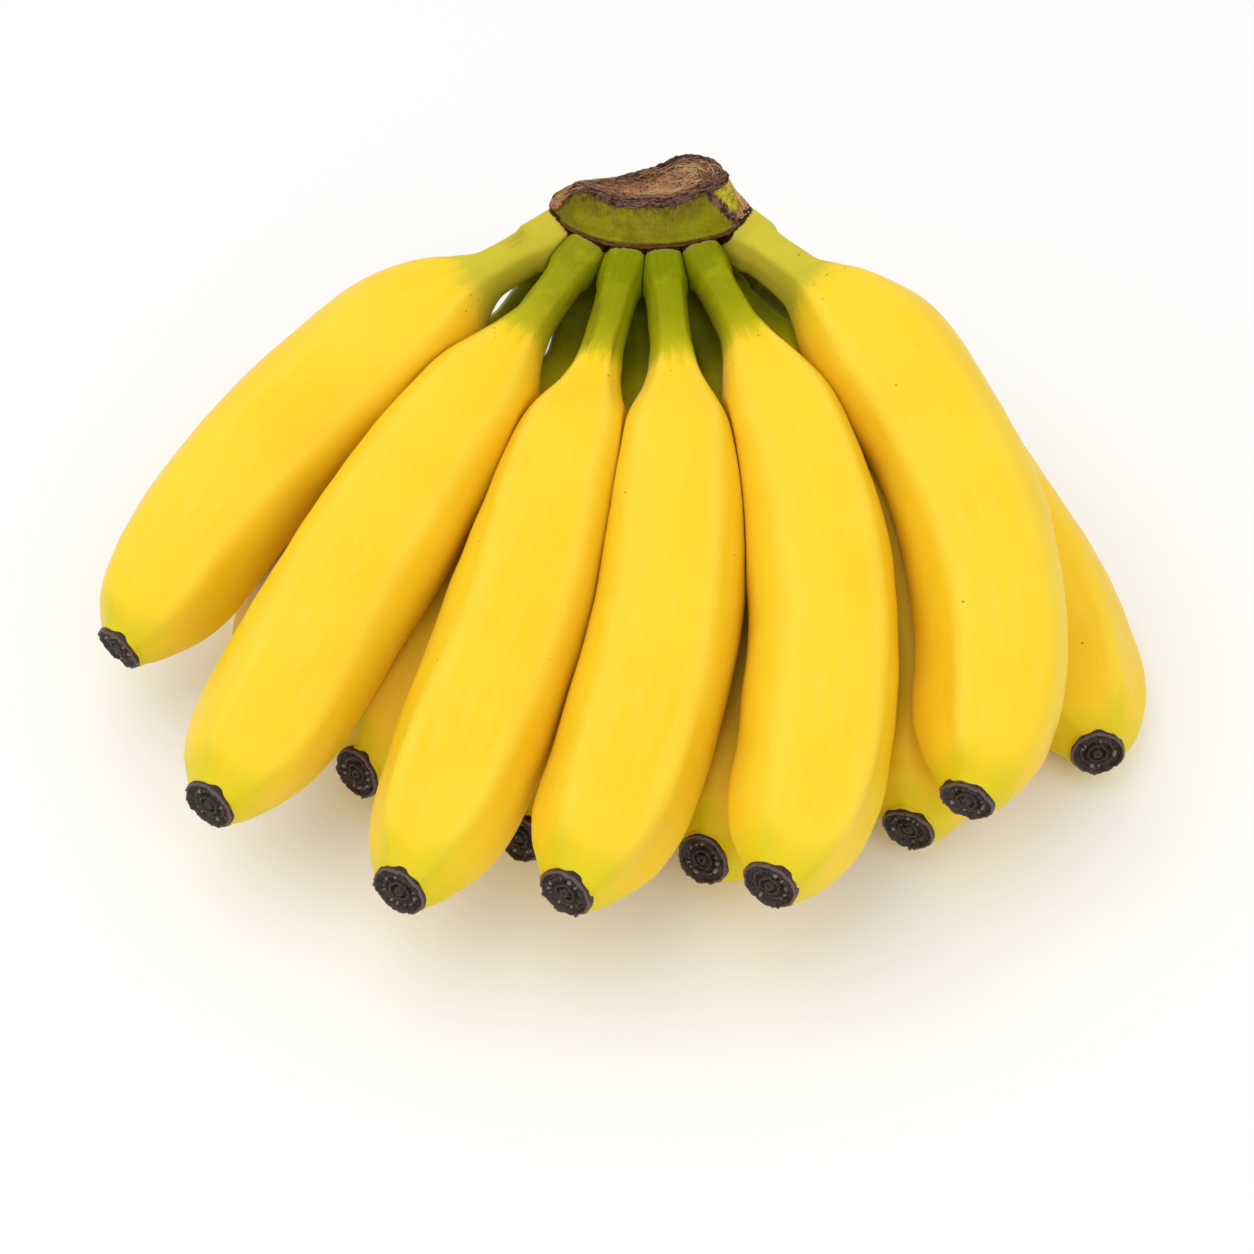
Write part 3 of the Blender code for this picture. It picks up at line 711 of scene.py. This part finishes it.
def roughen_crown(loops, steps, turn, rng):
    """Adds the bark band's strands, the torn cut face, the wavy lip and the skin's faint streaks."""
    band = within(steps, BAND_START - 0.2, BAND_START + 0.4, BAND_END - 0.3, BAND_END + 0.6)
    cut = within(steps, BAND_END - 0.2, BAND_END + 0.8, CUT_END - 0.6, CUT_END)
    lip = bell(steps, LIP_MIDDLE, 1.1)
    smooth = 1 - np.clip(band + cut + lip, 0, 1)
    round_place = np.stack(np.broadcast_arrays(
        np.cos(turn)[None] * 20, np.sin(turn)[None] * 20, steps * 2.2), axis=-1)
    # Strands run round the crown and wander up and down a little
    twisted = round_place + 1.3 * ripple(loops, 9.0, rng)[..., None] * [0, 0, 1]
    strands = ripple(twisted * [0.13, 0.13, 1.0], 1.5, rng)
    strands = strands + 0.5 * ripple(twisted * [0.25, 0.25, 1.0], 0.8, rng)
    torn = 1 - np.abs(ripple(loops, 2.6, rng)) + 0.5 * ripple(loops, 1.2, rng)
    streaks = ripple(round_place * [1.0, 1.0, 0.10], 1.2, rng)
    push = band * (BAND_STRANDS * strands + BAND_LUMPS * ripple(loops, 1.6, rng))
    push = push + cut * (CUT_TORN * torn + CUT_STRANDS * strands)
    push = push + lip * LIP_WAVES * ripple(loops, 3.0, rng)
    push = push + smooth * (SKIN_STREAKS * streaks + SKIN_WAVES * ripple(loops, 7.0, rng))
    return loops + push[..., None] * normals_of(loops)


def crown_looks(loops, steps, rng):
    """Where the crown is bark, torn, lip and yellow patch, from 0 to 1, and how light its cut face is."""
    ragged = ripples(loops, RAGGED, rng)
    band = ramp(steps + ragged, BAND_START - 0.1, BAND_START + 0.15)
    tan = ramp(steps + 1.6 * ragged, BAND_END - 0.9, BAND_END + 0.5)
    lip = ramp(steps + 0.5 * ragged, LIP_START - 0.2, LIP_START + 0.1)
    lip = lip * (1 - ramp(steps + 0.4 * ragged, LIP_END - 0.1, LIP_END + 0.2))
    x, y, z = np.moveaxis(loops, -1, 0)
    over = ramp(steps, LIP_END - 0.3, LIP_END)
    # A sloping strip of bark at the right, the yellow patch beyond it, and the bark of the left corner
    strip_x = 26.0 - (z - 78.5) * 0.75 + ragged
    strip = over * ramp(bell(x, strip_x, 1.1), 0.3, 0.6) * (1 - ramp(y, 75.0, 77.0))
    corner = over * ramp(-x, 16.4 + 0.6 * ragged, 17.4 + 0.6 * ragged) * (1 - ramp(y, 76.0, 80.0))
    patch = over * ramp(x, strip_x + 0.4, strip_x + 1.0) * (1 - ramp(y + 2 * ragged, 76.0, 79.5))
    torn_corner = over * ramp(x, strip_x + 0.3, strip_x + 0.9)
    torn_corner = torn_corner * (1 - ramp(z + 1.5 * ragged, 81.0, 82.2)) * (y < 78.0)
    dark_rim = ramp(steps, BAND_START + 0.4, BAND_START + 1.4)
    dark_rim = dark_rim * (1 - ramp(steps + ragged, BAND_END + 1.2, BAND_END + 2.0))
    return {
        "band": np.clip(band + strip + corner, 0, 1),
        "tan": np.clip(tan + torn_corner, 0, 1),
        "dark": dark_rim * ramp(x, -2.0, 6.0) * ramp(y, 75.0, 77.0),
        "light": np.maximum(light_at(x, y), 0.9 * torn_corner),
        "lip": lip * (1 - 0.8 * ramp(y, 79.0, 84.0)),
        # Where the painted highlight runs along the lip's crest
        "lip_crest_highlight": bell(steps, LIP_MIDDLE, 0.45),
        "rim": 0.7 * bell(steps, LIP_END, 0.5) + 0.8 * ramp(steps + ragged, BAND_START - 1.3, BAND_START),
        "patch": patch,
        "behind": ramp(y, 77.0, 84.0),
    }


def light_at(x, y):
    """How light the cut face is: lightest in its hollow, lighter at the left and dark at the back right."""
    hollow = np.exp(-(((x - 5.8) / 7.6) ** 2 + ((y - 72.7) / 3.0) ** 2))
    behind = ramp(x, 3.0, 9.0) * ramp(y, 76.5, 78.5)
    return (0.08 + 0.95 * hollow + 0.50 * ramp(-x, 7.0, 14.0)) * (1 - 0.85 * behind)


def add_crown(material, fibre_material, rng):
    """The crown, and on it the loose fibres and threads."""
    loops, steps = crown_surface(rng)
    ends = np.stack([loops[0].mean(axis=0), loops[-1].mean(axis=0)])
    piece = add_grid("crown_body", loops, ends, material, crown_looks(loops, steps, rng))
    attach(piece, "root")
    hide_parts("crown")
    fibres = add_fibres(loops, fibre_material, rng)
    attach(fibres, "root")


def on_crown(loops, normals, step, turn, lift):
    """Points lifted off the crown, at places along its ring list and at directions given in turns."""
    row = np.clip(step / (len(CROWN_RINGS) - 1) * (CROWN_LOOPS - 1), 0, CROWN_LOOPS - 1.001)
    column = np.mod(turn, 1.0) * CROWN_SIDES
    low, left = row.astype(int), column.astype(int) % CROWN_SIDES
    right = (left + 1) % CROWN_SIDES
    down, over = (row - low)[:, None], (column - np.floor(column))[:, None]
    near = loops[low, left] * (1 - over) + loops[low, right] * over
    far = loops[low + 1, left] * (1 - over) + loops[low + 1, right] * over
    return near * (1 - down) + far * down + lift[:, None] * normals[low, left]


def tube(path, radius):
    """A thin closed tube along a path, as points and faces."""
    onward = unit(np.gradient(path, axis=0))
    aside = unit(np.cross(onward, [0.31, 0.52, 0.79]))
    over = np.cross(onward, aside)
    turn = (2 * np.pi * np.arange(FIBRE_SIDES) / FIBRE_SIDES)[None, :, None]
    taper = radius * np.sin(np.linspace(0.25, np.pi - 0.25, len(path)))[:, None, None] ** 0.5
    rings = path[:, None] + taper * (np.cos(turn) * aside[:, None] + np.sin(turn) * over[:, None])
    points = np.concatenate([rings.reshape(-1, 3), path[:1], path[-1:]])
    return points, grid_faces(len(path), FIBRE_SIDES)


def fibre_paths(group, loops, normals, rng):
    """The paths, radii and shades of one group of fibres."""
    t = np.linspace(0, 1, group.points)
    paths = []
    for _ in range(group.count):
        turn = rng.uniform(*group.turns) + rng.uniform(*group.runs) * rng.choice([-1, 1]) * t
        turn = turn + group.curl * np.sin(rng.uniform(3, 9) * t + rng.uniform(0, 6))
        wobble = FIBRE_WOBBLE * np.sin(rng.uniform(2, 9) * t + rng.uniform(0, 6))
        step = rng.uniform(*group.starts) + rng.uniform(*group.drift) * t + wobble
        lift = rng.uniform(*group.lifts)
        lift = lift * np.sin(np.pi * (0.1 + 0.8 * t) * rng.uniform(0.6, 1.4)) ** 2 + 0.04
        path = on_crown(loops, normals, np.clip(step, 0, CUT_END), turn, lift)
        light = light_at(*path[group.points // 2, :2])
        size = rng.uniform(*group.sizes)
        paths.append((path, size, rng.uniform(*group.shades) * (0.22 + 0.80 * light)))
    return paths


def thread_paths(loops, normals, rng):
    """The same for the pale threads that hang from the band over the crescent."""
    t = np.linspace(0, 1, 9)
    paths = []
    for _ in range(THREADS):
        start = rng.normal(-0.01, 0.10)
        high = BAND_START - rng.uniform(0.0, 1.0) ** 2.0 * 2.6
        step = high - rng.uniform(0.06, 0.40) * t
        lift = 0.02 + rng.uniform(0.02, 0.10) * t
        drift = rng.uniform(-0.002, 0.002)
        path = on_crown(loops, normals, step, start + drift * t, lift)
        paths.append((path, rng.uniform(0.018, 0.032), rng.uniform(0.7, 0.95)))
    return paths


def add_fibres(loops, material, rng):
    """All the groups of fibres and the threads, as thin tubes in one mesh."""
    normals = normals_of(loops)
    paths = []
    for group in FIBRES:
        paths += fibre_paths(group, loops, normals, rng)
    paths += thread_paths(loops, normals, rng)
    points, faces, shades, used = [], [], [], 0
    for path, radius, shade in paths:
        made, sides = tube(path, radius)
        points.append(made)
        faces += [[index + used for index in face] for face in sides]
        shades.append(np.full(len(made), shade))
        used += len(made)
    looks = {"shade": np.concatenate(shades)}
    return add_mesh("crown_fibres", np.concatenate(points), faces, material, looks)


class Look:
    """A material with a Principled shader. Each method adds a node and gives back its output."""

    def __init__(self, name):
        self.material = bpy.data.materials.new(name)
        self.material.use_nodes = True
        self.tree = self.material.node_tree
        self.shader = self.tree.nodes["Principled BSDF"]

    def put(self, socket, value):
        """Links an output to a socket, or sets the socket to a number or a colour."""
        if isinstance(value, bpy.types.NodeSocket):
            self.tree.links.new(value, socket)
        else:
            socket.default_value = value

    def node(self, kind, inputs, output=0, **settings):
        made = self.tree.nodes.new(kind)
        for key, value in settings.items():
            setattr(made, key, value)
        for key, value in inputs.items():
            self.put(made.inputs[key], value)
        return made.outputs[output]

    def set(self, **values):
        for key, value in values.items():
            self.put(self.shader.inputs[key.replace("_", " ")], value)

    def stored(self, name):
        return self.node("ShaderNodeAttribute", {}, "Fac", attribute_name=name)

    def place(self):
        return self.node("ShaderNodeTexCoord", {}, "Object")

    def maths(self, operation, *values):
        return self.node("ShaderNodeMath", dict(enumerate(values)), operation=operation)

    def times(self, first, second):
        return self.maths("MULTIPLY", first, second)

    def noise(self, place, scale, detail=2.0, roughness=0.5):
        inputs = {"Vector": place, "Scale": scale, "Detail": detail, "Roughness": roughness}
        return self.node("ShaderNodeTexNoise", inputs)

    def between(self, value, low, high, start=0.0, end=1.0):
        """Start up to low, end from high, and smooth between them."""
        inputs = {"Value": value, "From Min": low, "From Max": high, "To Min": start, "To Max": end}
        return self.node("ShaderNodeMapRange", inputs, interpolation_type="SMOOTHSTEP")

    def moved(self, value, pattern, reach):
        """A value moved up and down by a pattern that lies round a half."""
        return self.maths("MULTIPLY_ADD", self.maths("SUBTRACT", pattern, 0.5), reach, value)

    def blend(self, factor, first, second):
        return self.node("ShaderNodeMix", {0: factor, 6: first, 7: second}, 2, data_type="RGBA")

    def tint(self, colour, tone, pattern, low, high, most=1.0):
        """A colour with a tone over it: none of it up to low in the pattern, and most from high."""
        return self.blend(self.between(pattern, low, high, 0.0, most), colour, tone)

    def dots(self, place, scale, size, share):
        """Small soft dots, one in a share of the cells of a grid of that scale."""
        inputs = {"Vector": place, "Scale": scale, "Randomness": 1.0}
        distance = self.node("ShaderNodeTexVoronoi", inputs, "Distance")
        chance = self.node("ShaderNodeSeparateColor", {"Color": distance.node.outputs["Color"]})
        there = self.maths("LESS_THAN", chance, share)
        return self.times(self.between(distance, size * 0.6, size, 1.0, 0.0), there)

    def bump(self, height, strength, distance):
        return self.node("ShaderNodeBump", {"Height": height, "Strength": strength, "Distance": distance})


def peel_look():
    """Waxy yellow peel, green towards the stalk and faintly at the tip, with streaks, stains and freckles."""
    look = Look("peel")
    place = look.place()
    share = look.stored("share")
    crest = look.stored("crest")
    broad = look.noise(place, 30.0, 2.0)
    mottled = look.noise(place, 170.0, 3.0, 0.6)
    lengthwise = look.node("ShaderNodeCombineXYZ", {
        "X": look.maths("MULTIPLY_ADD", mottled, 0.16, look.stored("around_x")),
        "Y": look.maths("MULTIPLY_ADD", broad, 0.20, look.stored("around_y")),
        "Z": look.times(share, 1.3)})
    streaks = look.noise(lengthwise, 7.0, 2.0, 0.55)
    fine_streaks = look.noise(lengthwise, 13.0, 2.0, 0.6)

    # The body is yellow, paler in streaks, and paler on its ridges as a painted highlight
    yellow = look.tint(GOLD, WARM, broad, 0.35, 0.65)
    yellow = look.tint(yellow, PALE_AND_HIGHLIGHT, streaks, 0.38, 0.75, 0.26)
    yellow = look.tint(yellow, PALE_AND_HIGHLIGHT, crest, -0.4, 1.1, 0.38)

    # The stalk is green, yellower past its knuckle and towards the neck, and yellow if ripe
    green = look.tint(STALK_GREEN, STALK_DARK, streaks, 0.35, 0.65, 0.4)
    knuckle = look.blend(0.05, green, STALK_DEEP_AND_SHADE)
    stalk = look.blend(0.10, green, STALK_YELLOW)
    green = look.tint(knuckle, stalk, share, 0.028, 0.038)
    green = look.tint(green, STALK_YELLOW, share, 0.07, 0.17, 0.55)
    green = look.tint(green, STALK_YELLOW, fine_streaks, 0.55, 0.75, 0.07)
    green = look.tint(green, STALK_YELLOW, mottled, 0.50, 0.72, 0.22)
    ripe = look.times(look.stored("ripe"), look.between(broad, 0.30, 0.55, 0.8, 1.1))
    green = look.blend(ripe, green, STALK_RIPE)
    # Painted shade darkens the lower row's stalks
    green = look.blend(look.stored("painted_shade_under"), green, STALK_DEEP_AND_SHADE)

    # The green ends unevenly at the neck, the tip is a little lime, and the last of the peel is brown
    uneven = look.moved(look.moved(share, streaks, 0.035), mottled, 0.03)
    uneven = look.maths("SUBTRACT", uneven, look.stored("green"))
    neck = look.between(uneven, 0.140, 0.184, 1.0, 0.0)
    colour = look.blend(neck, yellow, green)
    tip = look.maths("MULTIPLY_ADD", crest, 0.012, look.maths("MULTIPLY_ADD", streaks, 0.05, share))
    tip = look.between(tip, 0.95, 1.03, 0.0, 0.8)
    colour = look.blend(tip, colour, LIME)
    colour = look.blend(look.times(look.stored("edge"), 0.55), colour, SPECK)

    # Broken stains on the stalk, and freckles, which are thickest at the neck
    broken = look.between(look.noise(lengthwise, 16.0, 4.0, 0.7), 0.38, 0.62, 0.25, 1.0)
    colour = look.blend(look.times(look.stored("stain"), broken), colour, SCUFF)
    at_neck = look.between(share, 0.145, 0.165)
    at_neck = look.times(at_neck, look.between(share, 0.185, 0.20, 1.0, 0.0))
    neck_dots = look.times(look.dots(place, 700.0, 0.21, 0.34), at_neck)
    freckles = look.maths("MAXIMUM", look.dots(place, 250.0, 0.085, 0.045), neck_dots)
    colour = look.blend(look.times(freckles, 0.7), colour, SPECK)

    # The crown's brown lip, partly painted shade, laps over the stalk's root with a pale, wavy edge
    lip_distance = look.moved(look.stored("before_lip"), look.noise(place, 900.0), 0.9)
    colour = look.blend(look.between(lip_distance, 0.60, 0.80, 0.5, 0.0), colour, PALE_BARK)
    colour = look.blend(look.between(lip_distance, 0.25, 0.50, 1.0, 0.0), colour, LIP_BROWN_AND_SHADE)

    roughness = look.between(mottled, 0.3, 0.7, 0.38, 0.48)
    shine = look.between(share, 0.12, 0.24, 0.03, 0.16)
    grooves = look.times(fine_streaks, 0.12)
    pores = look.maths("MULTIPLY_ADD", look.noise(place, 2600.0, 2.0), 0.4, grooves)
    look.set(Base_Color=colour, Roughness=roughness, Normal=look.bump(pores, 0.22, 0.0003),
             Subsurface_Weight=0.08, Subsurface_Radius=(0.7, 0.5, 0.12), Subsurface_Scale=0.003,
             Coat_Weight=0.02, Coat_Roughness=0.28, Specular_IOR_Level=shine)
    return look.material


def flower_look():
    """Nearly black dry tissue: purple rim, grey beads partly painted highlight, painted shade where low."""
    look = Look("flower_end")
    place = look.place()
    grain = look.noise(place, 1500.0, 4.0, 0.65)
    colour = look.tint(FLOWER_DARK_AND_SHADE, FLOWER_BROWN, grain, 0.40, 0.65, 0.6)
    # Painted shade: darker where the disc is low
    colour = look.tint(colour, FLOWER_DARK_AND_SHADE, look.stored("low"), 0.0, 0.7, 0.6)
    colour = look.tint(colour, FLOWER_PURPLE, look.stored("rim"), 0.35, 0.9, 0.7)
    # The beads' grey is partly a painted highlight
    colour = look.tint(colour, FLOWER_GREY_AND_HIGHLIGHT, look.stored("beads"), 0.25, 0.8, 0.85)
    look.set(Base_Color=colour, Roughness=look.between(grain, 0.3, 0.7, 0.36, 0.60),
             Normal=look.bump(grain, 0.4, 0.0003), Specular_IOR_Level=0.42)
    return look.material


def crown_look():
    """Green skin, scarred at the back, with a brown lip, a bark band, a torn tan face and a yellow patch."""
    look = Look("crown")
    place = look.place()
    broad = look.noise(place, 120.0, 3.0, 0.6)
    coarse = look.noise(place, 500.0, 5.0, 0.7)
    fine = look.noise(place, 1800.0, 4.0, 0.7)

    # Green skin with a brown rim, a ripe patch and fine upright scars behind
    green = look.tint(CRESCENT_GREEN, CRESCENT_DARK, broad, 0.38, 0.66, 0.8)
    green = look.tint(green, CRESCENT_DARK, coarse, 0.50, 0.68, 0.4)
    green = look.blend(look.stored("rim"), green, CRESCENT_BROWN)
    green = look.tint(green, STALK_YELLOW, fine, 0.57, 0.72, 0.40)
    ripe = look.tint(PATCH_YELLOW, CRESCENT_GREEN, coarse, 0.4, 0.6)
    green = look.blend(look.stored("patch"), green, ripe)
    upright = look.node("ShaderNodeMapping", {"Vector": place, "Scale": (1.0, 1.0, 0.16)})
    scars = look.between(look.noise(upright, 520.0, 4.0, 0.65), 0.52, 0.68, 0.0, 0.55)
    scars = look.times(scars, look.between(broad, 0.42, 0.60, 0.25, 1.0))
    green = look.blend(look.times(look.stored("behind"), scars), green, BACK_SCAR)

    # Brown bark with pale grains
    bark = look.tint(BAND_DARK, BAND_BROWN, coarse, 0.42, 0.60)
    bark = look.tint(bark, TAN, fine, 0.56, 0.70, 0.45)

    # Torn tissue, tan where it is light, with dark holes and pale strands
    light = look.stored("light")
    torn = look.tint(BAND_DARK, TAN_DARK, coarse, 0.42, 0.58)
    torn = look.blend(look.times(light, look.between(coarse, 0.42, 0.56)), torn, TAN)
    torn = look.tint(torn, BAND_DARK, look.noise(place, 2300.0, 3.0, 0.6), 0.54, 0.66, 0.75)
    strand_light = look.times(look.between(fine, 0.52, 0.64, 0.0, 0.9), light)
    torn = look.blend(strand_light, torn, THREAD)

    # The lip: brown, partly painted shade, with a lighter line along its crest that is a painted highlight
    lip = look.tint(LIP_BROWN_AND_SHADE, LIP_EDGE_AND_HIGHLIGHT, coarse, 0.4, 0.7)
    lip = look.blend(look.times(look.stored("lip_crest_highlight"), 0.7), lip, LIP_EDGE_AND_HIGHLIGHT)

    colour = look.blend(look.stored("lip"), green, lip)
    colour = look.blend(look.stored("band"), colour, bark)
    colour = look.blend(look.stored("tan"), colour, torn)
    colour = look.blend(look.times(look.stored("dark"), 0.8), colour, BAND_DARK)
    look.set(Base_Color=colour, Roughness=look.between(coarse, 0.3, 0.7, 0.55, 0.85),
             Normal=look.bump(look.maths("ADD", coarse, fine), 0.6, 0.0005), Specular_IOR_Level=0.12)
    return look.material


def fibre_look():
    """Dry plant fibre, from bark brown to pale straw."""
    look = Look("fibre")
    shade = look.stored("shade")
    grain = look.noise(look.place(), 900.0, 3.0)
    brown = look.tint(BAND_DARK, BAND_BROWN, grain, 0.4, 0.6)
    colour = look.tint(brown, TAN, shade, 0.0, 0.5)
    colour = look.tint(colour, THREAD, shade, 0.6, 1.0)
    look.set(Base_Color=colour, Roughness=0.6, Normal=look.bump(grain, 0.3, 0.0002), Specular_IOR_Level=0.15)
    return look.material


def add_floor():
    """A plain pale surface under the hand."""
    look = Look("floor")
    look.set(Base_Color=FLOOR_WHITE, Roughness=0.7)
    mesh = bpy.data.meshes.new("floor")
    half = FLOOR_HALF
    corners = [(-half, -half, 0), (half, -half, 0), (half, half, 0), (-half, half, 0)]
    mesh.from_pydata(corners, [], [(0, 1, 2, 3)])
    mesh.materials.append(look.material)
    floor = place_object("floor", mesh)


def add_light(name, place, size, power, colour):
    """A square soft light, turned towards the hand."""
    data = bpy.data.lights.new(name, "AREA")
    data.shape = "SQUARE"
    data.size = size
    data.energy = power
    data.color = colour
    light = place_object(name, data)
    light.location = place
    x, y, z = place
    fall = np.arctan2(-z, np.hypot(x, y))
    heading = np.arctan2(-y, -x)
    light.rotation_euler = (np.pi / 2 + fall, 0, heading - np.pi / 2)


def add_lights():
    """A white surround, a large light above and a weaker one from the front right."""
    world = bpy.data.worlds.new("studio")
    world.use_nodes = True
    world.node_tree.nodes["Background"].inputs["Color"].default_value = (1, 1, 1, 1)
    world.node_tree.nodes["Background"].inputs["Strength"].default_value = SURROUND_STRENGTH
    bpy.context.scene.world = world
    for name, settings in LIGHTS.items():
        add_light(name, *settings)


def add_camera():
    """The photograph's camera, which looks down on the hand from the front."""
    data = bpy.data.cameras.new("camera")
    data.lens = CAMERA_LENS
    camera = place_object("camera", data)
    down = np.radians(CAMERA_ELEVATION)
    aim = np.array([-HAND_MIDDLE[0], -HAND_MIDDLE[1], AIM_HEIGHT])
    camera.location = (aim + CAMERA_DISTANCE * np.array([0.0, -np.cos(down), np.sin(down)])) * MM
    camera.rotation_euler = (np.pi / 2 - down, 0, 0)
    bpy.context.scene.camera = camera


def main():
    """Builds the hand, the floor, the lights and the camera."""
    peel, flower = peel_look(), flower_look()
    cores = {name: core_of(banana) for name, banana in BANANAS.items()}
    for index, name in enumerate(BANANAS):
        add_banana(name, cores, peel, flower, np.random.default_rng(BANANA_SEED + index))
    add_crown(crown_look(), fibre_look(), np.random.default_rng(CROWN_SEED))
    add_floor()
    add_lights()
    add_camera()
    bpy.context.scene.view_settings.view_transform = "Standard"


main()
